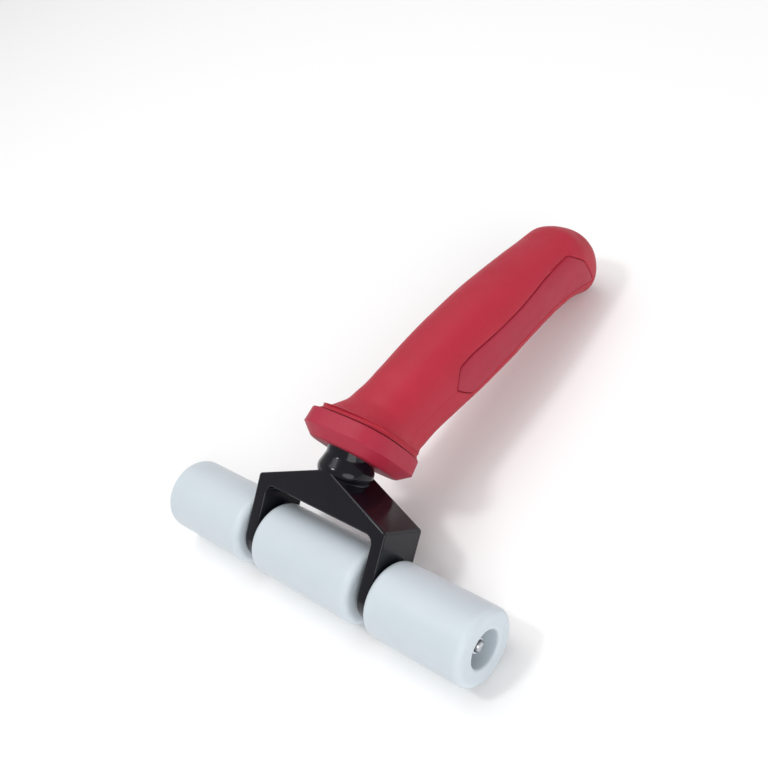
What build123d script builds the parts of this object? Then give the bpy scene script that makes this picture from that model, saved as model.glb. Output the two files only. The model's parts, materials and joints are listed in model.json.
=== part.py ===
from build123d import *
from math import asin, atan2, copysign, cos, hypot, pi, radians, sin
import os

# Three-section seam roller, lying at rest on a bench.
# Millimetres, +Z up. Origin on the bench directly under the middle of the axle.
# The axle runs along Y, the handle reaches back towards -X.

# rollers
roller_radius = 15.875
roller_corner = 2.8
middle_roller_length = 54.4
outer_roller_length = 46.4
recess_radius = 7.9
recess_depth = 10.0
recess_mouth_round = 1.0
bush_radius = 4.5

# axle and its fastenings
axle_radius = 2.5
axle_clearance = 0.06
axle_chamfer = 0.5
nut_across_flats = 8.0
nut_height = 5.0
nut_collar_height = 1.4
nut_collar_radius = 3.55
nut_ring_radius = 3.1
nut_ring_height = 1.1
nut_corner_cut = 0.45
end_washer_radius = 5.0
end_washer_thickness = 1.0
axle_stub = 1.5
running_gap = 0.3

# yoke
yoke_depth = 22.9
leg_inside = 29.3
leg_thickness = 5.6
leg_outside = leg_inside + leg_thickness
shoulder_height = 26.3
apex_height = 39.6
crossbar_underside = 22.9
inner_corner_round = 3.5
yoke_edge_round = 0.9
shoulder_round = 1.4
spacer_radius = 6.5
outer_spacer_thickness = 0.5

# collar and neck on top of the yoke
collar_radius = 11.5
collar_height = 38.9
collar_foot_radius = 10.7
collar_foot_height = 36.6
collar_top_radius = 10.9
collar_top_height = 41.3
neck_radius = 9.3
neck_height = 45.0
neck_end_height = 51.0

# handle guard, measured along its own leaning axis
guard_lean = 22.0
guard_centre_x = -4.2
guard_centre_z = 48.0
guard_ridge_half = 21.3
guard_top_half = 20.8
guard_base_half = 16.8
guard_base_drop = 4.3
guard_top_rise = 6.7
guard_squareness = 3.2

# handle body: leans further back than the guard after a short bend
handle_lean = 49.0
bend_length = 14.0
grip_thickness = 3.0
core_length = 146.0
handle_length = 150.5
panel_gap = 0.3
panel_inset = 0.2
panel_corner_round = 1.5
resting_station = 143.5
resting_reach = 29.35
# station along the handle, half width, reach above and below the axis, squareness
handle_sections = [
    (0.0, 20.8, 20.8, 20.8, 3.2),
    (5.0, 17.8, 12.1, 21.3, 2.8),
    (12.0, 16.1, 9.9, 23.6, 2.5),
    (26.0, 15.8, 11.3, 22.8, 2.4),
    (52.0, 16.9, 13.4, 23.4, 2.4),
    (78.0, 17.2, 13.9, 23.5, 2.4),
    (104.0, 16.6, 12.6, 22.7, 2.4),
    (128.0, 16.4, 10.2, 23.9, 2.4),
    (142.0, 15.6, 6.2, 28.6, 2.4),
    (150.5, 7.0, -6.0, 20.0, 2.2),
]
# side panel outline: station along the handle, height above the handle axis
panel_outline = [
    (38.9, -5.3),
    (44.5, 2.9),
    (57.0, 2.8),
    (85.0, 2.6),
    (107.0, 4.4),
    (126.0, 4.4),
    (134.3, -3.2),
    (141.0, -18.4),
    (124.0, -14.0),
    (112.0, -12.4),
    (78.0, -12.6),
    (46.5, -13.6),
]

# steel tang that joins the yoke to the handle
tang_radius = 4.5
tang_foot_height = 30.0
tang_turn_height = 41.0
tang_turn_radius = 12.0
tang_length = 62.0
pin_radius = 1.5
pin_station = 52.0
pin_half_length = 12.0
pin_chamfer = 0.3

os.makedirs("parts", exist_ok=True)


def handle_station(station):
    """Centre and lean of the handle axis at a station, in the yoke's own frame."""
    bend_radius = bend_length / radians(handle_lean - guard_lean)
    bent = min(station, bend_length)
    lean = radians(guard_lean) + bent / bend_radius
    start_x = guard_centre_x - guard_top_rise * sin(radians(guard_lean))
    start_z = guard_centre_z + guard_top_rise * cos(radians(guard_lean))
    straight = station - bent
    x = start_x - bend_radius * (cos(radians(guard_lean)) - cos(lean)) - straight * sin(lean)
    z = start_z + bend_radius * (sin(lean) - sin(radians(guard_lean))) + straight * cos(lean)
    return x, z, lean


# the bench touches the rollers and the butt of the handle, which sets how far the yoke leans
butt_x, butt_z, butt_lean = handle_station(resting_station)
tip_x = butt_x - resting_reach * cos(butt_lean)
tip_z = butt_z - resting_reach * sin(butt_lean)
yoke_lean = pi + asin(roller_radius / hypot(tip_x, tip_z)) - atan2(tip_z, tip_x)
front = Vector(cos(yoke_lean), 0, sin(yoke_lean))
up = Vector(-sin(yoke_lean), 0, cos(yoke_lean))
axle_centre = Vector(0, 0, roller_radius)


def yoke_point(x, y, z):
    """A point given in the yoke's own frame: x forward, y along the axle, z up the yoke."""
    return axle_centre + front * x + Vector(0, y, 0) + up * z


def cross_plane(x, z, lean):
    """Plane square to a leaning axis: local x along the axle, local y towards the top side."""
    along = up * cos(lean) - front * sin(lean)
    return Plane(origin=yoke_point(x, 0, z), x_dir=(0, -1, 0), z_dir=along)


# an outline starts at its widest side and turns through four quarters
quarter_steps = 4
headings = [(0, 1), (-1, 0), (0, -1), (1, 0), (0, 1)]


def rounded_square(half_width, above, below, squareness):
    """Points round a soft-cornered outline."""
    middle = (above - below) / 2
    reach = (above + below) / 2
    points = []
    for step in range(4 * quarter_steps + 1):
        angle = pi / 2 * step / quarter_steps
        side = copysign(abs(cos(angle)) ** (2 / squareness), cos(angle))
        rise = copysign(abs(sin(angle)) ** (2 / squareness), sin(angle))
        points.append((half_width * side, middle + reach * rise))
    return points


def axle_plane(y):
    """Plane square to the axle, facing +Y, with local y up the yoke."""
    return Plane(origin=yoke_point(0, y, 0), x_dir=-front, z_dir=(0, 1, 0))


head_plane = Plane(origin=axle_centre, x_dir=(0, 1, 0), z_dir=front)
side_x, side_z, side_lean = handle_station(bend_length)
side_plane = Plane(
    origin=yoke_point(side_x, 0, side_z),
    x_dir=up * cos(side_lean) - front * sin(side_lean),
    z_dir=(0, 1, 0),
)


def ring(name, start, end, outer, inner):
    """A plain washer or sleeve on the axle between two places along Y."""
    with BuildPart() as piece:
        with BuildSketch(axle_plane(start)):
            Circle(outer)
            Circle(inner, mode=Mode.SUBTRACT)
        extrude(amount=end - start)
    piece.part.label = name
    export_step(piece.part, f"parts/{name}.step")


# where things come along the axle, outwards from the middle of the tool
outer_roller_start = leg_outside + outer_spacer_thickness + running_gap
outer_roller_end = outer_roller_start + outer_roller_length
recess_floor = outer_roller_end - recess_depth
washer_start = recess_floor + running_gap
nut_start = washer_start + end_washer_thickness
axle_half_length = nut_start + nut_height + axle_stub


def outer_roller(name, side):
    """A roller with a deep recess for the nut in its outer end."""
    with BuildPart() as roller:
        with BuildSketch(Plane.XY.offset(roller_radius)):
            with BuildLine():
                Polyline(
                    (0, side * outer_roller_start),
                    (roller_radius, side * outer_roller_start),
                    (roller_radius, side * outer_roller_end),
                    (recess_radius, side * outer_roller_end),
                    (recess_radius, side * recess_floor),
                    (0, side * recess_floor),
                    close=True,
                )
            make_face()
        revolve(axis=Axis(axle_centre, (0, 1, 0)))
        rims = roller.edges().filter_by(GeomType.CIRCLE)
        fillet(rims.filter_by(lambda rim: rim.radius > roller_radius - 0.01), roller_corner)
        mouth = roller.edges().filter_by(GeomType.CIRCLE)
        mouth = mouth.filter_by(lambda rim: abs(rim.radius - recess_radius) < 0.01)
        mouth = mouth.filter_by(lambda rim: abs(rim.center().Y - side * outer_roller_end) < 0.01)
        fillet(mouth, recess_mouth_round)
        with BuildSketch(axle_plane(side * outer_roller_start)):
            Circle(bush_radius)
        extrude(amount=side * outer_roller_length, mode=Mode.SUBTRACT)
    roller.part.label = name
    export_step(roller.part, f"parts/{name}.step")


def middle_roller():
    """The plain roller between the legs of the yoke."""
    with BuildPart() as roller:
        with BuildSketch(axle_plane(-middle_roller_length / 2)):
            Circle(roller_radius)
            Circle(bush_radius, mode=Mode.SUBTRACT)
        extrude(amount=middle_roller_length)
        rims = roller.edges().filter_by(GeomType.CIRCLE)
        fillet(rims.filter_by(lambda rim: rim.radius > roller_radius - 0.01), roller_corner)
    roller.part.label = "roller_middle"
    export_step(roller.part, "parts/roller_middle.step")


outer_roller("roller_left", -1)
middle_roller()
outer_roller("roller_right", 1)

bush_bore = axle_radius + axle_clearance
half_middle = middle_roller_length / 2
ring("bush_left", -recess_floor, -outer_roller_start, bush_radius, bush_bore)
ring("bush_middle", -half_middle, half_middle, bush_radius, bush_bore)
ring("bush_right", outer_roller_start, recess_floor, bush_radius, bush_bore)

spacer_start = half_middle + running_gap
ring("inner_spacer_left", -leg_inside, -spacer_start, spacer_radius, axle_radius)
ring("inner_spacer_right", spacer_start, leg_inside, spacer_radius, axle_radius)
spacer_end = leg_outside + outer_spacer_thickness
ring("outer_spacer_left", -spacer_end, -leg_outside, spacer_radius, axle_radius)
ring("outer_spacer_right", leg_outside, spacer_end, spacer_radius, axle_radius)
ring("end_washer_left", -nut_start, -washer_start, end_washer_radius, axle_radius)
ring("end_washer_right", washer_start, nut_start, end_washer_radius, axle_radius)

# axle
with BuildPart() as axle:
    with BuildSketch(axle_plane(-axle_half_length)):
        Circle(axle_radius)
    extrude(amount=2 * axle_half_length)
    chamfer(axle.edges().filter_by(GeomType.CIRCLE), axle_chamfer)
axle.part.label = "axle"
export_step(axle.part, "parts/axle.step")


def lock_nut(side_name, side):
    """A hexagon lock nut with a thin collar that holds a nylon ring."""
    hex_height = nut_height - nut_collar_height
    ring_start = nut_height - nut_ring_height
    corner_radius = nut_across_flats / 2 / cos(pi / 6)
    with BuildPart() as nut:
        with BuildSketch(axle_plane(side * nut_start)):
            RegularPolygon(corner_radius, 6)
        extrude(amount=side * hex_height)
        with BuildSketch(Plane.XY.offset(roller_radius)):
            with BuildLine():
                Polyline(
                    (0, side * nut_start),
                    (corner_radius - nut_corner_cut, side * nut_start),
                    (corner_radius, side * (nut_start + nut_corner_cut)),
                    (corner_radius, side * (nut_start + hex_height - nut_corner_cut)),
                    (corner_radius - nut_corner_cut, side * (nut_start + hex_height)),
                    (0, side * (nut_start + hex_height)),
                    close=True,
                )
            make_face()
        revolve(axis=Axis(axle_centre, (0, 1, 0)), mode=Mode.INTERSECT)
        with BuildSketch(axle_plane(side * (nut_start + hex_height))):
            Circle(nut_collar_radius)
        extrude(amount=side * nut_collar_height)
        with BuildSketch(axle_plane(side * nut_start)):
            Circle(axle_radius)
        extrude(amount=side * nut_height, mode=Mode.SUBTRACT)
        with BuildSketch(axle_plane(side * (nut_start + ring_start))):
            Circle(nut_ring_radius)
        extrude(amount=side * nut_ring_height, mode=Mode.SUBTRACT)
    nut.part.label = f"lock_nut_{side_name}"
    export_step(nut.part, f"parts/lock_nut_{side_name}.step")
    near, far = sorted((side * (nut_start + ring_start), side * (nut_start + nut_height)))
    ring(f"nut_ring_{side_name}", near, far, nut_ring_radius, axle_radius)


lock_nut("left", -1)
lock_nut("right", 1)


def handle_body(inset, last_station):
    """Smooth handle body between the guard and a station, drawn in from the outer skin."""
    with BuildPart() as body:
        for station, half_width, above, below, squareness in handle_sections:
            if station <= last_station:
                outline = rounded_square(half_width - inset, above - inset, below - inset, squareness)
                with BuildSketch(cross_plane(*handle_station(station))):
                    with BuildLine():
                        for quarter in range(4):
                            first = quarter * quarter_steps
                            Spline(
                                outline[first:first + quarter_steps + 1],
                                tangents=(headings[quarter], headings[quarter + 1]),
                            )
                    make_face()
        loft()
    return body.part


def panel_prism(shrink):
    """The outline of the side panels pushed right through the handle sideways."""
    with BuildPart() as prism:
        with BuildSketch(side_plane) as outline:
            with BuildLine():
                Polyline(
                    [(station - bend_length, height) for station, height in panel_outline],
                    close=True,
                )
            make_face()
            fillet(outline.vertices(), panel_corner_round)
            if shrink:
                offset(amount=-shrink, mode=Mode.REPLACE)
        extrude(amount=2 * guard_ridge_half, both=True)
    return prism.part


def bent_tang():
    """Steel rod: up the middle of the neck, round a turn and along inside the handle."""
    with BuildPart() as rod:
        with BuildLine():
            rise = Line(yoke_point(0, 0, tang_foot_height), yoke_point(0, 0, tang_turn_height))
            bend = ThreePointArc(rise @ 1, tang_turn_point(0.5), tang_turn_point(1.0))
            along = up * cos(tang_turn) - front * sin(tang_turn)
            Line(bend @ 1, tang_turn_point(1.0) + along * tang_length)
        with BuildSketch(Plane(origin=yoke_point(0, 0, tang_foot_height), z_dir=up)):
            Circle(tang_radius)
        sweep()
    return rod.part


def tang_turn_point(part_turned):
    """A point on the turn of the tang, as a share of the whole turn."""
    angle = tang_turn * part_turned
    back = tang_turn_radius * (1 - cos(angle))
    rise = tang_turn_height + tang_turn_radius * sin(angle)
    return yoke_point(-back, 0, rise)


def cross_pin():
    """Steel pin that locks the tang in the handle."""
    with BuildPart() as pin:
        with BuildSketch(pin_plane):
            Circle(pin_radius)
        extrude(amount=pin_half_length, both=True)
    return pin.part


tang_turn = radians(handle_lean)
tang = bent_tang()
tang_along = up * cos(tang_turn) - front * sin(tang_turn)
pin_plane = Plane(
    origin=tang_turn_point(1.0) + tang_along * pin_station,
    x_dir=tang_along,
    z_dir=(0, 1, 0),
)

# yoke: gabled bridge with two legs, collar and neck in one piece
with BuildPart() as yoke:
    with BuildSketch(head_plane):
        with BuildLine():
            Polyline(
                (-leg_outside, -yoke_depth),
                (-leg_outside, shoulder_height),
                (0, apex_height),
                (leg_outside, shoulder_height),
                (leg_outside, -yoke_depth),
                (leg_inside, -yoke_depth),
                (leg_inside, crossbar_underside),
                (-leg_inside, crossbar_underside),
                (-leg_inside, -yoke_depth),
                close=True,
            )
        make_face()
    extrude(amount=yoke_depth / 2, both=True)
    inner_corners = yoke.edges().filter_by(Axis(axle_centre, front))
    inner_corners = inner_corners.filter_by(
        lambda edge: abs(abs(edge.center().Y) - leg_inside) < 0.01
        and (edge.center() - axle_centre).dot(up) > crossbar_underside - 0.01
    )
    fillet(inner_corners, inner_corner_round)
    with BuildSketch(Plane(origin=axle_centre, x_dir=-front, z_dir=(0, 1, 0))):
        Circle(yoke_depth / 2)
        with Locations((0, apex_height / 2)):
            Rectangle(yoke_depth, apex_height)
    extrude(amount=2 * leg_outside, both=True, mode=Mode.INTERSECT)
    shoulders = yoke.edges().filter_by(Axis(axle_centre, front))
    shoulders = shoulders.filter_by(lambda edge: abs(abs(edge.center().Y) - leg_outside) < 0.01)
    fillet(shoulders, shoulder_round)
    across = yoke.edges().filter_by(Axis(axle_centre, front))
    foot_seams = yoke.edges().filter_by(Axis.Y)
    foot_seams = foot_seams.filter_by(lambda edge: abs((edge.center() - axle_centre).dot(up)) < 0.01)
    fillet(yoke.edges() - across - foot_seams, yoke_edge_round)
    with BuildSketch(head_plane):
        with BuildLine():
            foot = Line((0, tang_foot_height), (collar_foot_radius, tang_foot_height))
            wall = Line(foot @ 1, (collar_foot_radius, collar_foot_height))
            bulge = ThreePointArc(
                wall @ 1,
                (collar_radius, collar_height),
                (collar_top_radius, collar_top_height),
            )
            cone = Line(bulge @ 1, (neck_radius, neck_height))
            neck = Line(cone @ 1, (neck_radius, neck_end_height))
            top = Line(neck @ 1, (0, neck_end_height))
            Line(top @ 1, foot @ 0)
        make_face()
    revolve(axis=Axis(axle_centre, up))
    with BuildSketch(Plane(origin=axle_centre, x_dir=-front, z_dir=(0, 1, 0))):
        Circle(axle_radius)
    extrude(amount=2 * leg_outside, both=True, mode=Mode.SUBTRACT)
    add(tang, mode=Mode.SUBTRACT)
yoke.part.label = "yoke"
export_step(yoke.part, "parts/yoke.step")

# tang, drilled for its pin
with BuildPart() as steel_tang:
    add(tang)
    add(cross_pin(), mode=Mode.SUBTRACT)
steel_tang.part.label = "tang"
export_step(steel_tang.part, "parts/tang.step")

with BuildPart() as tang_pin:
    add(cross_pin())
    chamfer(tang_pin.edges().filter_by(GeomType.CIRCLE), pin_chamfer)
tang_pin.part.label = "tang_pin"
export_step(tang_pin.part, "parts/tang_pin.step")

# hard core: guard, inner body and the two side panels in one piece
with BuildPart() as core:
    for rise, half_width in (
        (-guard_base_drop, guard_base_half),
        (0, guard_ridge_half),
        (guard_top_rise, guard_top_half),
    ):
        ring_x = guard_centre_x - rise * sin(radians(guard_lean))
        ring_z = guard_centre_z + rise * cos(radians(guard_lean))
        outline = rounded_square(half_width, half_width, half_width, guard_squareness)
        with BuildSketch(cross_plane(ring_x, ring_z, radians(guard_lean))):
            with BuildLine():
                for quarter in range(4):
                    first = quarter * quarter_steps
                    Spline(
                        outline[first:first + quarter_steps + 1],
                        tangents=(headings[quarter], headings[quarter + 1]),
                    )
            make_face()
    loft(ruled=True)
    add(handle_body(grip_thickness, core_length))
    add(handle_body(panel_inset, handle_length) & panel_prism(panel_gap))
    add(yoke.part, mode=Mode.SUBTRACT)
    add(tang, mode=Mode.SUBTRACT)
    add(cross_pin(), mode=Mode.SUBTRACT)
core.part.label = "handle_core"
export_step(core.part, "parts/handle_core.step")

# soft grip: a skin round the handle body with an opening for each side panel
with BuildPart() as grip:
    add(handle_body(0, handle_length))
    add(handle_body(grip_thickness, core_length), mode=Mode.SUBTRACT)
    add(panel_prism(0), mode=Mode.SUBTRACT)
grip.part.label = "grip"
export_step(grip.part, "parts/grip.step")
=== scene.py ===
import bpy, json
from bisect import bisect_right
from math import acos, asin, ceil, copysign, cos, exp, hypot, pi, radians, sin, tan
from mathutils import Matrix, Vector


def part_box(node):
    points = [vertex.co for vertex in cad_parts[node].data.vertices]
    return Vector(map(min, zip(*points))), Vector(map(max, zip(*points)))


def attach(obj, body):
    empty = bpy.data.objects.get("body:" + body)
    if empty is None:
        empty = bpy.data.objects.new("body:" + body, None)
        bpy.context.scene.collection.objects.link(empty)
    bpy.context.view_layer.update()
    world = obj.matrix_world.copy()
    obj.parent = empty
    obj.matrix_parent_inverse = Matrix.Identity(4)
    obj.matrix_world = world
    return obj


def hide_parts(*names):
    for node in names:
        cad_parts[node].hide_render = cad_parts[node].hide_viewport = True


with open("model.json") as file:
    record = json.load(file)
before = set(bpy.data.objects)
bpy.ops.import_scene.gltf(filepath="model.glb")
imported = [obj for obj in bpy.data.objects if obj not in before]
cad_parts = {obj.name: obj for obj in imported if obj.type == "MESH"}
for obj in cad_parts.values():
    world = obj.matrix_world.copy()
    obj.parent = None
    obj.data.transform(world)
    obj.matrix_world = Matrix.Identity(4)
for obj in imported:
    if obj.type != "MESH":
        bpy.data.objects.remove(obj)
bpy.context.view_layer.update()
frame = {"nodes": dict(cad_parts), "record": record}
nodes = frame["nodes"]
print("frame loaded:", len(nodes), "nodes")

mm = 0.001                                             # pieces are drawn in millimetres
axleLow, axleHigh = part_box("axle")
axleMiddle = (axleLow + axleHigh) / 2                  # centre of the axle, over the origin
yokeLean = radians(49.194)                             # how far the yoke leans back from upright
front = Vector((cos(yokeLean), 0, sin(yokeLean)))      # square to the yoke, away from the handle
rise = Vector((-sin(yokeLean), 0, cos(yokeLean)))      # up the yoke


def onYoke(x, y, z):
    return axleMiddle + front * x + Vector((0, y, 0)) + rise * z


def bell(gap, width):
    return exp(-(gap / width) ** 2)


camera = {   # place in metres from the middle of the axle, all of it in the yoke's own directions
    "place": (0.28713, 0.23764, 0.12620),
    "right": (-0.629, 0.739, 0.243),
    "down": (0.015, 0.323, -0.946),
    "sensor": 36,
    "lens": 45.42,
    "shiftX": -0.0039,
    "shiftY": 0.1076,
    "clip": (0.01, 20),
}


def setCamera():
    data = bpy.data.cameras.new("studioCamera")
    data.sensor_width, data.lens = camera["sensor"], camera["lens"]
    data.shift_x, data.shift_y = camera["shiftX"], camera["shiftY"]
    data.clip_start, data.clip_end = camera["clip"]
    eye = bpy.data.objects.new("studioCamera", data)
    bpy.context.scene.collection.objects.link(eye)
    right = (onYoke(*camera["right"]) - axleMiddle).normalized()
    upward = -(onYoke(*camera["down"]) - axleMiddle)
    upward = (upward - right * upward.dot(right)).normalized()
    turn = Matrix((right, upward, right.cross(upward))).transposed().to_4x4()
    eye.matrix_world = Matrix.Translation(onYoke(*camera["place"])) @ turn
    bpy.context.scene.camera = eye
    print("camera set: lens", camera["lens"])


studio = {
    "floorHalf": 3.0,
    "floorColour": (0.93, 0.93, 0.93, 1),
    "floorRoughness": 0.9,
    "worldColour": (1, 1, 1, 1),
    "worldStrength": 0.52,
    "lamps": [   # name, place, aim, size across in metres, watts
        ("keyLamp", (-0.25, -0.45, 1.25), (-0.06, 0, 0.02), 1.1, 6.3),
        ("fillLamp", (0.55, 1.15, 0.65), (-0.04, 0, 0.03), 1.2, 10.0),
        ("glintLamp", (0.30, -0.25, 0.95), (-0.04, 0, 0.03), 0.16, 2.2),
    ],
}


def setStudio():
    world = bpy.data.worlds.new("studio")
    bpy.context.scene.world = world
    world.use_nodes = True
    backdrop = world.node_tree.nodes["Background"]
    backdrop.inputs["Color"].default_value = studio["worldColour"]
    backdrop.inputs["Strength"].default_value = studio["worldStrength"]
    half = studio["floorHalf"]
    corners = [(-half, -half, 0), (half, -half, 0), (half, half, 0), (-half, half, 0)]
    mesh = bpy.data.meshes.new("floor")
    mesh.from_pydata(corners, [], [(0, 1, 2, 3)])
    floor = bpy.data.objects.new("floor", mesh)
    bpy.context.scene.collection.objects.link(floor)
    paint = bpy.data.materials.new("palePaper")
    paint.use_nodes = True
    shader = paint.node_tree.nodes["Principled BSDF"]
    shader.inputs["Base Color"].default_value = studio["floorColour"]
    shader.inputs["Roughness"].default_value = studio["floorRoughness"]
    mesh.materials.append(paint)
    for name, place, aim, size, watts in studio["lamps"]:
        data = bpy.data.lights.new(name, "AREA")
        data.shape, data.size, data.energy = "DISK", size, watts
        lamp = bpy.data.objects.new(name, data)
        lamp.location = place
        lamp.rotation_euler = (Vector(aim) - Vector(place)).to_track_quat("-Z", "Y").to_euler()
        bpy.context.scene.collection.objects.link(lamp)
    bpy.context.scene.view_settings.view_transform = "Standard"
    print("studio set:", len(studio["lamps"]), "lamps")


# colour and a darker shade of it, roughness low and high, grain size per metre and depth, and what else
# the finish sets on its shader
finishes = {
    "rollerPlastic": dict(
        colour=(0.565, 0.625, 0.67), shade=(0.548, 0.606, 0.65), rough=(0.34, 0.44), grain=900, depth=0.03,
        sockets={"Subsurface Weight": 0.45, "Subsurface Radius": (1.0, 0.95, 0.9), "Subsurface Scale": 0.006,
                 "Specular IOR Level": 0.35}),
    "bushPlastic": dict(
        colour=(0.70, 0.70, 0.66), shade=(0.62, 0.62, 0.58), rough=(0.3, 0.45), grain=900, depth=0.05),
    "spacerPlastic": dict(
        colour=(0.03, 0.03, 0.033), shade=(0.02, 0.02, 0.022), rough=(0.35, 0.5), grain=900, depth=0.05),
    "blackGloss": dict(
        colour=(0.006, 0.006, 0.010), shade=(0.004, 0.004, 0.007), rough=(0.14, 0.22), grain=420, depth=0.05,
        sockets={"Specular IOR Level": 0.18, "Coat Weight": 0.25, "Coat Roughness": 0.06}),
    "softRed": dict(
        colour=(0.435, 0.020, 0.043), shade=(0.405, 0.017, 0.037), rough=(0.48, 0.6), grain=2600, depth=0.25,
        sockets={"Specular IOR Level": 0.3}),
    "hardRed": dict(
        colour=(0.385, 0.019, 0.046), shade=(0.36, 0.0165, 0.041), rough=(0.42, 0.52), grain=1600, depth=0.12,
        sockets={"Specular IOR Level": 0.3}),
    "nylonRing": dict(
        colour=(0.75, 0.78, 0.84), shade=(0.66, 0.69, 0.76), rough=(0.3, 0.4), grain=900, depth=0.05),
    "zincPlate": dict(
        colour=(0.70, 0.72, 0.75), shade=(0.48, 0.50, 0.53), rough=(0.16, 0.34), grain=1500, depth=0.15,
        sockets={"Metallic": 1.0}),
    # zinc painted darker to stand for the shade down in the thread's grooves; used only on the threads
    "paintedShadeZinc": dict(
        colour=(0.30, 0.31, 0.33), shade=(0.16, 0.165, 0.18), rough=(0.25, 0.45), grain=1800, depth=0.2,
        sockets={"Metallic": 1.0}),
    "plainSteel": dict(
        colour=(0.50, 0.51, 0.53), shade=(0.38, 0.39, 0.41), rough=(0.3, 0.5), grain=1500, depth=0.15,
        sockets={"Metallic": 1.0}),
}
# shared by all finishes: noise scale per metre and its detail, the noise range used, bump height in metres
texture = {
    "mottle": (55, 4), "sheen": (140, 3), "grainDetail": 2, "range": (0.3, 0.7), "bump": 0.0002,
}


def makeFinish(name):
    want = finishes[name]
    paint = bpy.data.materials.new(name)
    paint.use_nodes = True
    tree = paint.node_tree
    shader = tree.nodes["Principled BSDF"]
    place = tree.nodes.new("ShaderNodeTexCoord").outputs["Object"]

    def noise(scale, detail):
        node = tree.nodes.new("ShaderNodeTexNoise")
        node.inputs["Scale"].default_value = scale
        node.inputs["Detail"].default_value = detail
        tree.links.new(place, node.inputs["Vector"])
        return node.outputs["Fac"]

    def spread(value, low, high):
        node = tree.nodes.new("ShaderNodeMapRange")
        node.inputs["From Min"].default_value, node.inputs["From Max"].default_value = texture["range"]
        node.inputs["To Min"].default_value = low
        node.inputs["To Max"].default_value = high
        tree.links.new(value, node.inputs["Value"])
        return node.outputs["Result"]

    mix = tree.nodes.new("ShaderNodeMix")
    mix.data_type = "RGBA"
    mix.inputs["A"].default_value = (*want["shade"], 1)
    mix.inputs["B"].default_value = (*want["colour"], 1)
    tree.links.new(spread(noise(*texture["mottle"]), 0, 1), mix.inputs["Factor"])
    tree.links.new(mix.outputs["Result"], shader.inputs["Base Color"])
    tree.links.new(spread(noise(*texture["sheen"]), *want["rough"]), shader.inputs["Roughness"])
    bump = tree.nodes.new("ShaderNodeBump")
    bump.inputs["Strength"].default_value = want["depth"]
    bump.inputs["Distance"].default_value = texture["bump"]
    tree.links.new(noise(want["grain"], texture["grainDetail"]), bump.inputs["Height"])
    tree.links.new(bump.outputs["Normal"], shader.inputs["Normal"])
    for label, amount in want.get("sockets", {}).items():
        shader.inputs[label].default_value = amount
    return paint


paints = {name: makeFinish(name) for name in finishes}
slotPaints = {
    "roller_plastic": "rollerPlastic", "bush_plastic": "bushPlastic", "zinc": "zincPlate",
    "black_gloss": "blackGloss", "steel": "plainSteel", "nylon_ring": "nylonRing",
    "hard_red": "hardRed", "soft_red": "softRed", "spacer_plastic": "spacerPlastic",
}
for row in frame["record"]["subparts"]:
    nodeMesh = nodes[row["node"]].data
    nodeMesh.materials.clear()
    nodeMesh.materials.append(paints[slotPaints[row["material_slot"]]])
print("materials ready:", len(paints))


def keepPiece(name, mesh, finish, body, slot, *stoodFor, crease=None):
    # crease: edges sharper than this many degrees stay sharp
    piece = bpy.data.objects.new(name, mesh)
    bpy.context.scene.collection.objects.link(piece)
    mesh.materials.clear()
    mesh.materials.append(paints[finish])
    for face in mesh.polygons:
        face.use_smooth = True
    if crease:
        mesh.set_sharp_from_angle(angle=radians(crease))
    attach(piece, body)
    if stoodFor:
        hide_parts(*stoodFor)
    print("piece made:", name, len(mesh.polygons), "faces")
    return piece


def meshFrom(name, points, faces):
    mesh = bpy.data.meshes.new(name)
    mesh.from_pydata([tuple(point) for point in points], [], faces)
    mesh.validate()
    return mesh


def turnedMesh(name, profile, sides=144, pole=Vector((0, 1, 0))):
    # profile: (radius, place along the pole) in millimetres, outer side first; a radius of 0 closes the end
    first = front if abs(pole.dot(front)) < 0.5 else rise
    second = pole.cross(first)
    points, faces, rows = [], [], []
    for radius, along in profile:
        if radius == 0:
            rows.append([len(points)])
            points.append(axleMiddle + pole * along * mm)
            continue
        rows.append(list(range(len(points), len(points) + sides)))
        for step in range(sides):
            angle = 2 * pi * step / sides
            spoke = first * radius * cos(angle) + second * radius * sin(angle)
            points.append(axleMiddle + (spoke + pole * along) * mm)
    for near, far in zip(rows, rows[1:] + rows[:1]):
        if len(near) == 1 and len(far) == 1:
            continue
        for step in range(sides):
            turn = (step + 1) % sides
            if len(near) == 1:
                faces.append((near[0], far[turn], far[step]))
            elif len(far) == 1:
                faces.append((near[step], near[turn], far[0]))
            else:
                faces.append((near[step], near[turn], far[turn], far[step]))
    return meshFrom(name, points, faces)


def roundedProfile(corners, steps=7):
    # corners: (radius, along, rounding); each corner becomes a small arc with a close row either side of it
    profile = []
    count = len(corners)
    for index, (radius, along, rounding) in enumerate(corners):
        here = Vector((radius, along))
        if not rounding:
            profile.append((radius, along))
            continue
        before = Vector(corners[index - 1][:2]) - here
        after = Vector(corners[(index + 1) % count][:2]) - here
        half = before.angle(after) / 2
        reach = rounding / tan(half)
        hub = here + (before.normalized() + after.normalized()).normalized() * (rounding / sin(half))
        start = here + before.normalized() * reach
        end = here + after.normalized() * reach
        extra = min(0.35, rounding * 0.4)      # how far off the arc its close rows lie
        profile.append(tuple(start + before.normalized() * extra))
        for step in range(steps + 1):
            part = step / steps
            spoke = (start - hub).lerp(end - hub, part)
            if 0 < part < 1:
                sweep = (start - hub).angle(end - hub)
                near, far = (start - hub) * sin((1 - part) * sweep), (end - hub) * sin(part * sweep)
                spoke = (near + far) / sin(sweep)
            profile.append(tuple(hub + spoke))
        profile.append(tuple(end + after.normalized() * extra))
    return profile


# rollers: soft-ended plastic sleeves, the outer two with a drafted pocket for the nut
rollers = {
    "radius": 15.875, "corner": 2.8, "bore": 4.5, "boreEase": 0.4,
    "middleHalf": 27.2, "outerStart": 35.7, "outerEnd": 82.1,
    "pocketRadius": 7.9, "pocketFloorRadius": 7.5, "pocketDepth": 10.0, "pocketMouth": 1.1,
    "pocketFloorRound": 1.2,
}


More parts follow.
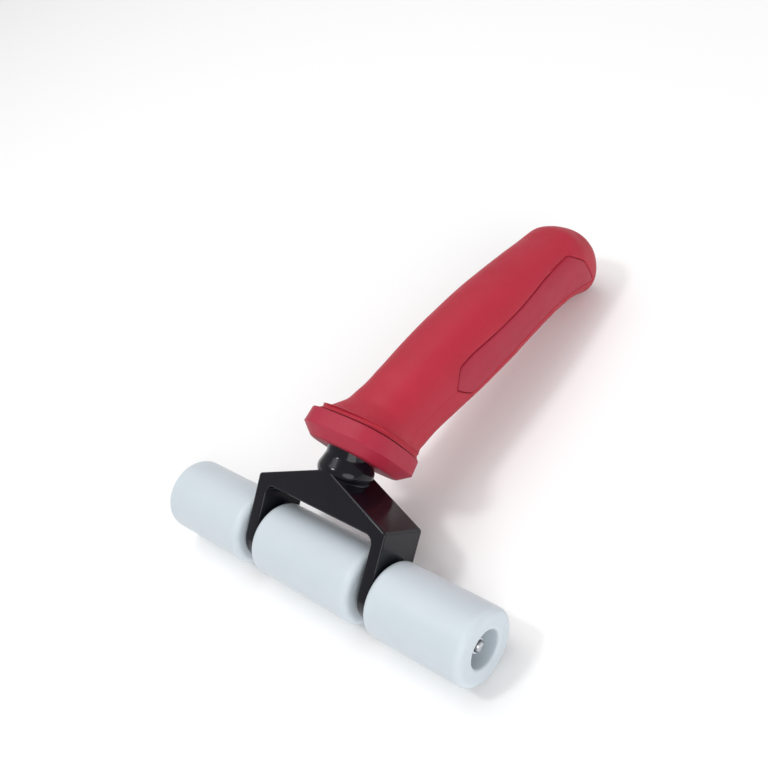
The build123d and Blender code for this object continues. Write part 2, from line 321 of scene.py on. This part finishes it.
def makeRollers():
    r = rollers
    half, ease = r["middleHalf"], r["boreEase"]
    middle = roundedProfile([
        (r["radius"], -half, r["corner"]), (r["radius"], half, r["corner"]),
        (r["bore"], half, ease), (r["bore"], -half, ease)])
    keepPiece("middleRoller", turnedMesh("middleRoller", middle), "rollerPlastic",
              "middle_roller", "roller_plastic", "roller_middle")
    floor = r["outerEnd"] - r["pocketDepth"]
    outer = roundedProfile([
        (r["radius"], r["outerStart"], r["corner"]), (r["radius"], r["outerEnd"], r["corner"]),
        (r["pocketRadius"], r["outerEnd"], r["pocketMouth"]),
        (r["pocketFloorRadius"], floor, r["pocketFloorRound"]),
        (r["bore"], floor, ease), (r["bore"], r["outerStart"], ease)])
    keepPiece("rightRoller", turnedMesh("rightRoller", outer), "rollerPlastic",
              "right_roller", "roller_plastic", "roller_right")
    mirrored = [(radius, -along) for radius, along in reversed(outer)]
    keepPiece("leftRoller", turnedMesh("leftRoller", mirrored), "rollerPlastic",
              "left_roller", "roller_plastic", "roller_left")


# lock nuts: hexagon with cut corners, then a collar crimped over the nylon ring
lockNut = {
    "acrossFlats": 8.0, "start": 73.4, "hexHeight": 3.6, "height": 5.0, "collar": 3.55,
    "bore": 2.5, "ringRadius": 3.1, "cut": 0.45, "sides": 120,
}


def makeNut(name, side, stoodFor):
    n = lockNut
    flat = n["acrossFlats"] / 2
    corner = flat / cos(pi / 6)
    halfCut, top, shoulder = corner - n["cut"] * 0.5, n["hexHeight"], n["collar"]
    # (limit on radius, height): the hexagon is clipped by the limit, which rounds its corners off in arcs
    rows = [
        (n["bore"], 0), (flat - 0.35, 0), (flat + 0.02, 0.12), (halfCut, 0.33), (corner, n["cut"]),
        (corner, 1.2), (corner, 2.4), (corner, top - n["cut"]), (halfCut, top - 0.28),
        (flat + 0.02, top - 0.06), (shoulder + 0.12, top), (shoulder, top + 0.12), (shoulder, 4.45),
        (shoulder - 0.09, 4.75), (shoulder - 0.24, 4.93), (n["ringRadius"] + 0.08, n["height"]),
        (n["ringRadius"] - 0.02, 4.9),
        (n["ringRadius"], 4.0), (n["bore"], 3.9),
    ]
    points, faces = [], []
    sides = n["sides"]
    for limit, height in rows:
        for step in range(sides):
            angle = 2 * pi * step / sides
            wedge = (angle + pi / 6) % (pi / 3) - pi / 6
            radius = min(limit, flat / cos(wedge))
            points.append(axleMiddle + Vector((
                radius * cos(angle), side * (n["start"] + height), radius * sin(angle))) * mm)
    count = len(rows)
    for row in range(count):
        for step in range(sides):
            turn = (step + 1) % sides
            face = (row * sides + step, (row + 1) % count * sides + step,
                    (row + 1) % count * sides + turn, row * sides + turn)
            faces.append(face if side > 0 else face[::-1])
    keepPiece(name, meshFrom(name, points, faces), "zincPlate", "frame", "zinc", stoodFor, crease=24)


# axle: plain shank with a rolled thread at each end, made by a node tree
axle = {
    "radius": 2.5, "rootRadius": 2.12, "half": 79.9, "threadLength": 9.5, "threadInset": 0.5, "pitch": 0.8,
    "chamfer": 0.5, "turnSteps": 40, "ridgeSides": 8, "ridgeShare": 0.62,      # last: ridge radius over depth
}


def threadTree():
    tree = bpy.data.node_groups.new("rolledThread", "GeometryNodeTree")
    sockets = (("Length", "Float"), ("Pitch", "Float"), ("Crest Radius", "Float"), ("Depth", "Float"),
               ("Start", "Vector"), ("Turn", "Vector"), ("Finish", "Material"))
    for label, kind in sockets:
        tree.interface.new_socket(label, in_out="INPUT", socket_type="NodeSocket" + kind)
    tree.interface.new_socket("Geometry", in_out="OUTPUT", socket_type="NodeSocketGeometry")
    make = tree.nodes.new
    link = tree.links.new
    given = make("NodeGroupInput").outputs

    def sums(operation, first, second):
        node = make("ShaderNodeMath")
        node.operation = operation
        for socket, value in zip(node.inputs, (first, second)):
            if hasattr(value, "is_output"):
                link(value, socket)
            else:
                socket.default_value = value
        return node.outputs[0]

    helix = make("GeometryNodeCurveSpiral")
    helix.inputs["Resolution"].default_value = axle["turnSteps"]
    link(sums("DIVIDE", given["Length"], given["Pitch"]), helix.inputs["Rotations"])
    ridgeRadius = sums("MULTIPLY", given["Depth"], axle["ridgeShare"])
    middle = sums("SUBTRACT", given["Crest Radius"], ridgeRadius)
    link(middle, helix.inputs["Start Radius"])
    link(middle, helix.inputs["End Radius"])
    link(given["Length"], helix.inputs["Height"])
    ridge = make("GeometryNodeCurvePrimitiveCircle")
    ridge.inputs["Resolution"].default_value = axle["ridgeSides"]
    link(ridgeRadius, ridge.inputs["Radius"])
    tube = make("GeometryNodeCurveToMesh")
    tube.inputs["Fill Caps"].default_value = True
    link(helix.outputs["Curve"], tube.inputs["Curve"])
    link(ridge.outputs["Curve"], tube.inputs["Profile Curve"])
    place = make("GeometryNodeTransform")
    link(tube.outputs["Mesh"], place.inputs["Geometry"])
    link(given["Start"], place.inputs["Translation"])
    link(given["Turn"], place.inputs["Rotation"])
    real = make("GeometryNodeRealizeInstances")
    link(place.outputs["Geometry"], real.inputs["Geometry"])
    coat = make("GeometryNodeSetMaterial")
    link(real.outputs["Geometry"], coat.inputs["Geometry"])
    link(given["Finish"], coat.inputs["Material"])
    link(coat.outputs["Geometry"], make("NodeGroupOutput").inputs["Geometry"])
    return tree


def grow(name, tree, values):
    # runs a node tree on an empty mesh and keeps the result as a plain mesh
    holder = bpy.data.objects.new(name, bpy.data.meshes.new(name))
    bpy.context.scene.collection.objects.link(holder)
    modifier = holder.modifiers.new("grow", "NODES")
    modifier.node_group = tree
    for item in tree.interface.items_tree:
        if item.item_type == "SOCKET" and item.in_out == "INPUT" and item.name in values:
            modifier[item.identifier] = values[item.name]
    bpy.context.view_layer.update()
    graph = bpy.context.evaluated_depsgraph_get()
    grown = holder.evaluated_get(graph)
    mesh = bpy.data.meshes.new_from_object(grown, preserve_all_data_layers=True, depsgraph=graph)
    holder.modifiers.clear()
    bpy.data.objects.remove(holder)
    mesh.name = name
    return mesh


def makeAxle():
    a = axle
    shank = a["half"] - a["threadLength"]
    end = [(a["radius"], shank - 0.4), (a["radius"], shank), (a["rootRadius"], shank + 0.3),
           (a["rootRadius"], a["half"] - a["chamfer"]), (a["rootRadius"] - 0.25, a["half"] - 0.1),
           (a["rootRadius"] - 0.45, a["half"]), (0, a["half"])]
    profile = [(radius, -along) for radius, along in reversed(end)] + end
    shankMesh = turnedMesh("axleShank", profile, 64)
    keepPiece("axleShank", shankMesh, "zincPlate", "frame", "zinc", "axle", crease=30)
    tree = threadTree()
    for name, side in (("threadLeft", -1), ("threadRight", 1)):
        start = axleMiddle + Vector((0, side * (shank + a["threadInset"]) * mm, 0))
        mesh = grow(name, tree, {
            "Length": (a["threadLength"] - 2 * a["threadInset"]) * mm, "Pitch": a["pitch"] * mm,
            "Crest Radius": a["radius"] * mm, "Depth": (a["radius"] - a["rootRadius"]) * mm,
            "Start": start, "Turn": (-side * pi / 2, 0, 0), "Finish": paints["paintedShadeZinc"]})
        # the threads take the zinc painted darker, a painted shade for their grooves
        keepPiece(name, mesh, "paintedShadeZinc", "frame", "zinc", "axle")


# handle, in millimetres in the yoke's own directions: x forward, y along the axle, z up the yoke
handle = {
    "guardLean": 22.0, "guardX": -4.2, "guardZ": 48.0, "guardRise": 6.7,
    "lean": 49.0, "bend": 14.0, "end": 150.5, "wall": 2.4,
    "panelGroove": (0.55, 0.30), "seamGroove": (0.22, 0.26),      # depth and half width
    "seamHeight": -5.4, "seamFrom": 2.5, "seamTo": 38.9,
    "flank": 0.3,                          # the flank is where the angle's cosine is past this
    "buttRows": 8, "buttShare": 0.42,      # rows over the butt, and how far they close towards its middle
    "foot": [(0.38, 1.2), (0.4, 0.5), (0.46, 0.2), (0.6, 0.04), (0.8, 0.0)],      # station and inset
    "rows": [   # station, half width, reach above and below the handle's line, squareness
        (0, 20.3, 19.4, 20.6, 3.2), (1.5, 18.9, 16.2, 20.9, 3.1), (4, 17.8, 12.9, 21.6, 2.9),
        (9, 16.5, 9.9, 23.6, 2.6), (16, 15.8, 10.1, 23.4, 2.45), (26, 15.8, 11.3, 22.8, 2.4),
        (42, 16.5, 12.8, 23.1, 2.4), (60, 17.1, 13.7, 23.6, 2.4), (78, 17.2, 13.9, 23.5, 2.4),
        (96, 16.8, 13.1, 22.8, 2.4), (112, 16.4, 11.9, 22.6, 2.4), (124, 16.4, 10.5, 23.2, 2.4),
        (134, 16.4, 9.8, 25.6, 2.4), (142, 15.6, 6.2, 28.6, 2.4), (147.5, 13.2, 1.2, 27.8, 2.3),
        (150.5, 8.5, -4.5, 23.0, 2.2),
    ],
    "panel": [   # station and height of the corners of the side panels
        (38.9, -5.2), (41.5, -1.3), (44.5, 2.6), (53, 3.5), (70, 3.0), (88, 3.2), (107, 4.4), (126, 4.3),
        (134.3, -3.2), (137.7, -10.8), (141, -18.4), (132, -16.2), (124, -14.2), (112, -12.6), (96, -12.3),
        (78, -12.7), (62, -13.6), (48.5, -14.2), (44, -10.4),
    ],
}


def slopes(xs, ys):
    # slopes that keep a curve through the rows from swinging past them
    steps = [(y1 - y0) / (x1 - x0) for x0, x1, y0, y1 in zip(xs, xs[1:], ys, ys[1:])]
    found = [steps[0]]
    for left, right in zip(steps, steps[1:]):
        found.append(0 if left * right <= 0 else 2 * left * right / (left + right))
    return found + [steps[-1]]


handleXs = [row[0] for row in handle["rows"]]
handleCurves = [[row[k] for row in handle["rows"]] for k in range(1, 5)]
handleSlopes = [slopes(handleXs, curve) for curve in handleCurves]


def sectionAt(station):
    place = min(max(bisect_right(handleXs, station) - 1, 0), len(handleXs) - 2)
    width = handleXs[place + 1] - handleXs[place]
    t = (station - handleXs[place]) / width
    values = []
    for curve, slope in zip(handleCurves, handleSlopes):
        startShare, endShare = (1 + 2 * t) * (1 - t) ** 2, t * t * (3 - 2 * t)
        values.append(startShare * curve[place] + t * (1 - t) ** 2 * width * slope[place]
                      + endShare * curve[place + 1] + t * t * (t - 1) * width * slope[place + 1])
    return values


def handleLine(station):
    h = handle
    bendRadius = h["bend"] / radians(h["lean"] - h["guardLean"])
    bent = min(station, h["bend"])
    straight = station - bent
    first = radians(h["guardLean"])
    lean = first + bent / bendRadius
    x = h["guardX"] - h["guardRise"] * sin(first)
    x -= bendRadius * (cos(first) - cos(lean)) + straight * sin(lean)
    z = h["guardZ"] + h["guardRise"] * cos(first)
    z += bendRadius * (sin(lean) - sin(first)) + straight * cos(lean)
    return x, z, lean


def onHandle(station, across, height, line=None):
    x, z, lean = line or handleLine(station)
    return onYoke((x + height * cos(lean)) * mm, across * mm, (z + height * sin(lean)) * mm)


def skinPlace(station, angle, inset=0.0):
    halfWidth, above, below, square = sectionAt(station)
    middle, reach = (above - below) / 2, (above + below) / 2
    side = copysign(abs(cos(angle)) ** (2 / square), cos(angle))
    lift = copysign(abs(sin(angle)) ** (2 / square), sin(angle))
    return (halfWidth - inset) * side, middle + (reach - inset) * lift


def angleAt(station, height):
    # angle on the right-hand side where the skin has that height
    above, below, square = sectionAt(station)[1:]
    lift = max(-1, min(1, (height - (above - below) / 2) / ((above + below) / 2)))
    return asin(copysign(abs(lift) ** (square / 2), lift))


def roundedOutline(corners, setback=1.4, steps=5):
    points = []
    for index, corner in enumerate(corners):
        here = Vector(corner)
        before = Vector(corners[index - 1]) - here
        after = Vector(corners[(index + 1) % len(corners)]) - here
        start = here + before.normalized() * min(setback, before.length * 0.45)
        end = here + after.normalized() * min(setback, after.length * 0.45)
        for step in range(steps + 1):
            t = step / steps
            points.append(start * (1 - t) ** 2 + here * 2 * t * (1 - t) + end * t * t)
    return points


def nearestOn(outline, spot):
    best, place = float("inf"), None
    for first, second in zip(outline, outline[1:] + outline[:1]):
        along = second - first
        part = max(0, min(1, (spot - first).dot(along) / max(along.length_squared, 1e-12)))
        foot = first + along * part
        gap = (spot - foot).length
        if gap < best:
            best, place = gap, foot
    return best, place


def isInside(outline, spot):
    inside = False
    for first, second in zip(outline, outline[1:] + outline[:1]):
        if (first.y > spot.y) != (second.y > spot.y):
            if spot.x < (second.x - first.x) * (spot.y - first.y) / (second.y - first.y) + first.x:
                inside = not inside
    return inside


def spacedList(*runs):
    values = []
    for start, end, step in runs:
        count = max(1, ceil((end - start) / step - 1e-6))
        values += [start + (end - start) * k / count for k in range(count)]
    return values + [runs[-1][1]]


def handleAngles():
    # round the right-hand side from top to bottom, and back up the left-hand side
    half = [acos(side ** 1.2) for side in spacedList((0, 0.877, 0.08))]      # the back, spread by width
    flank = spacedList((-0.80, 0.56, 0.019))[::-1]                           # the flank, spread by height
    half += [asin(copysign(abs(lift) ** 1.2, lift)) for lift in flank]
    half += [-acos((0.62 - 0.077 * k) ** 1.2) for k in range(8)] + [-pi / 2]      # the belly
    return half + [pi - angle for angle in half[::-1][1:-1]]


def handleSkin(angles):
    # points on the skin, ring by ring, the station, height and angle of each, and how many rings there are
    h = handle
    runs = ((1.0, 6, 0.5), (6, 38, 1.2), (38, 52, 0.4), (52, 124, 1.2), (124, 142, 0.4), (142, 149, 0.7))
    rings = h["foot"] + [(station, 0.0) for station in spacedList(*runs)]
    points, spots = [], []
    for station, inset in rings:
        line = handleLine(station)
        for angle in angles:
            across, height = skinPlace(station, angle, inset)
            spots.append((station, height, angle))
            points.append(onHandle(station, across, height, line))
    # rounded butt: the last section shrinks towards its own middle
    last = rings[-1][0]
    above, below = sectionAt(last)[1:3]
    middle = (above - below) / 2
    for step in range(1, h["buttRows"]):
        turn = pi / 2 * step / h["buttRows"]
        station = last + (h["end"] - last) * sin(turn)
        share = h["buttShare"] + (1 - h["buttShare"]) * cos(turn)
        line = handleLine(station)
        for angle in angles:
            across, height = skinPlace(last, angle)
            spots.append((station, height, angle))
            points.append(onHandle(station, across * share, middle + (height - middle) * share, line))
    points.append(onHandle(h["end"], 0, middle))
    spots.append((h["end"], middle, 0))
    return points, spots, len(rings) + h["buttRows"] - 1


def makeHandle():
    h = handle
    outline = roundedOutline(h["panel"])
    low = Vector((min(spot.x for spot in outline), min(spot.y for spot in outline)))
    high = Vector((max(spot.x for spot in outline), max(spot.y for spot in outline)))
    angles = handleAngles()
    around = len(angles)
    points, spots, rings = handleSkin(angles)
    hub = len(points) - 1
    faces, panelFaces = [], []
    for ring in range(rings - 1):
        for row in range(around):
            turn = (row + 1) % around
            near, far = ring * around, (ring + 1) * around
            face = (near + row, near + turn, far + turn, far + row)
            spot = Vector((sum(spots[v][0] for v in face) / 4, sum(spots[v][1] for v in face) / 4))
            onFlank = all(abs(cos(spots[v][2])) > h["flank"] for v in face)
            inBox = low.x < spot.x < high.x and low.y < spot.y < high.y
            inside = onFlank and inBox and isInside(outline, spot)
            (panelFaces if inside else faces).append(face)
    final = (rings - 1) * around
    faces += [(final + row, final + (row + 1) % around, hub) for row in range(around)]
    # the panel's edge lies on its outline, and the skin dips into a groove along it and along the mould seam
    shared = set(v for face in faces for v in face) & set(v for face in panelFaces for v in face)
    for v in shared:
        station, height, angle = spots[v]
        foot = nearestOn(outline, Vector((station, height)))[1]
        flank = angleAt(foot.x, foot.y)
        angle = flank if cos(angle) > 0 else pi - flank
        across, height = skinPlace(foot.x, angle)
        spots[v] = (foot.x, height, angle)
        points[v] = onHandle(foot.x, across, height)
    whole = meshFrom("whole", points, faces + panelFaces)
    whole.update()
    depth, width = h["panelGroove"]
    seamDepth, seamWidth = h["seamGroove"]
    reach = 4 * width                       # past this the groove is too shallow to count
    moved = []
    for v, (station, height, angle) in enumerate(spots):
        dip = 0.0
        if abs(cos(angle)) > h["flank"]:
            if low.x - reach < station < high.x + reach and low.y - reach < height < high.y + reach:
                gap = nearestOn(outline, Vector((station, height)))[0]
                if gap < reach:
                    dip = depth * bell(gap, width)
            if h["seamFrom"] < station < h["seamTo"]:
                dip = max(dip, seamDepth * bell(height - h["seamHeight"], seamWidth))
        moved.append(points[v] - whole.vertices[v].normal * dip * mm)
    bpy.data.meshes.remove(whole)

    def shell(name, chosen):
        used = sorted(set(v for face in chosen for v in face))
        short = {v: k for k, v in enumerate(used)}
        return meshFrom(name, [moved[v] for v in used], [tuple(short[v] for v in face) for face in chosen])

    skin = shell("gripSkin", faces)
    panels = shell("sidePanels", panelFaces)
    for piece in (keepPiece("gripSkin", skin, "softRed", "frame", "soft_red", "grip"),
                  keepPiece("sidePanels", panels, "hardRed", "frame", "hard_red", "handle_core")):
        wall = piece.modifiers.new("wall", "SOLIDIFY")
        wall.thickness, wall.offset = h["wall"] * mm, -1


# guard: hard flange at the foot of the grip, with a ridge round its middle
guard = {
    "base": 16.8, "ridge": 21.3, "top": 20.8, "drop": 4.3, "rise": 6.7, "square": 3.2, "edge": 0.35,
    "sides": 160,
}


def makeGuard():
    g = guard
    base, ridge, top, drop, lid, e = (g[part] for part in ("base", "ridge", "top", "drop", "rise", "edge"))
    slope = (ridge - base) / drop
    # (half width, height), from the middle of the underside out over the ridge to the middle of the top
    rows = [
        (0, -drop), (base * 0.5, -drop), (base - 2 * e, -drop), (base - e, -drop + 0.02),
        (base - 0.2 * e, -drop + 0.45 * e), (base + 0.7 * e * slope, -drop + 0.75 * e),
        (base + 1.6 * e * slope, -drop + 1.6 * e),
        (ridge - 1.6 * e * slope, -1.6 * e), (ridge - 0.75 * e * slope, -0.75 * e),
        (ridge - 0.16 * e, -0.16 * e), (ridge - 0.12 * e, 0.45 * e), (ridge - 0.35 * e, 1.5 * e),
        (top + 0.08, lid - 2.6 * e), (top + 0.03, lid - 1.4 * e), (top - 0.06, lid - 0.7 * e),
        (top - 0.2, lid - 0.2 * e), (top - 0.42, lid - 0.02 * e), (top - 0.8, lid), (top - 6, lid), (0, lid),
    ]
    lean = radians(handle["guardLean"])
    points, faces, rings = [], [], []
    for half, lift in rows:
        line = (handle["guardX"] - lift * sin(lean), handle["guardZ"] + lift * cos(lean), lean)
        if half == 0:
            rings.append([len(points)])
            points.append(onHandle(0, 0, 0, line))
            continue
        rings.append(list(range(len(points), len(points) + g["sides"])))
        for step in range(g["sides"]):
            angle = 2 * pi * step / g["sides"]
            across = half * copysign(abs(cos(angle)) ** (2 / g["square"]), cos(angle))
            height = half * copysign(abs(sin(angle)) ** (2 / g["square"]), sin(angle))
            points.append(onHandle(0, across, height, line))
    for first, second in zip(rings, rings[1:]):
        for step in range(g["sides"]):
            turn = (step + 1) % g["sides"]
            if len(first) == 1:
                faces.append((first[0], second[turn], second[step]))
            elif len(second) == 1:
                faces.append((first[step], first[turn], second[0]))
            else:
                faces.append((first[step], first[turn], second[turn], second[step]))
    keepPiece("guard", meshFrom("guard", points, faces), "hardRed", "frame", "hard_red", "handle_core")


# collar and neck of the casting: a fine skin a hair outside it, with its corners eased
collar = {
    "foot": (10.7, 30.0), "bulgeFoot": (10.7, 36.6), "bulge": (11.5, 38.9), "bulgeTop": (10.9, 41.3),
    "neckFoot": (9.3, 45.0), "neckTop": (9.3, 51.0),                # these six are radius and height
    "step": 0.15, "ease": 0.5, "easeSteps": 8, "proud": 0.02, "sides": 144,
}


def collarRadius(height):
    c = collar
    (ax, ay), (bx, by), (cx, cy) = c["bulgeFoot"], c["bulge"], c["bulgeTop"]
    neckRadius, neckFoot = c["neckFoot"]
    if height <= ay:
        return ax
    if height > cy:
        return max(neckRadius, cx + (neckRadius - cx) * (height - cy) / (neckFoot - cy))
    # on the circle through the three bulge points
    scale = 2 * (ax * (by - cy) + bx * (cy - ay) + cx * (ay - by))
    aa, bb, cc = ax**2 + ay**2, bx**2 + by**2, cx**2 + cy**2
    hubX = (aa * (by - cy) + bb * (cy - ay) + cc * (ay - by)) / scale
    hubY = (aa * (cx - bx) + bb * (ax - cx) + cc * (bx - ax)) / scale
    return hubX + (hypot(ax - hubX, ay - hubY) ** 2 - (height - hubY) ** 2) ** 0.5


def makeCollar():
    c = collar
    step = c["step"]
    low, high = c["foot"][1], c["neckTop"][1]
    heights = [low + step * k for k in range(ceil((high - low) / step))]
    weights = {k: bell(k * step, c["ease"]) for k in range(-c["easeSteps"], c["easeSteps"] + 1)}
    total = sum(weights.values())
    eased = [sum(weight * collarRadius(height + k * step) for k, weight in weights.items()) / total
             for height in heights]
    # the eased line is lifted until none of it is inside the casting
    lift = max(collarRadius(height) - radius for height, radius in zip(heights, eased)) + c["proud"]
    outside = [(radius + lift, height) for radius, height in zip(eased, heights)]
    profile = [(0, heights[0])] + outside + [(0, heights[-1])]
    mesh = turnedMesh("yokeCollar", profile, c["sides"], rise)
    keepPiece("yokeCollar", mesh, "blackGloss", "frame", "black_gloss")


makeCollar()
makeRollers()
makeNut("lockNutLeft", -1, "lock_nut_left")
makeNut("lockNutRight", 1, "lock_nut_right")
makeAxle()
makeGuard()
makeHandle()
print("pieces ready")

setCamera()
setStudio()
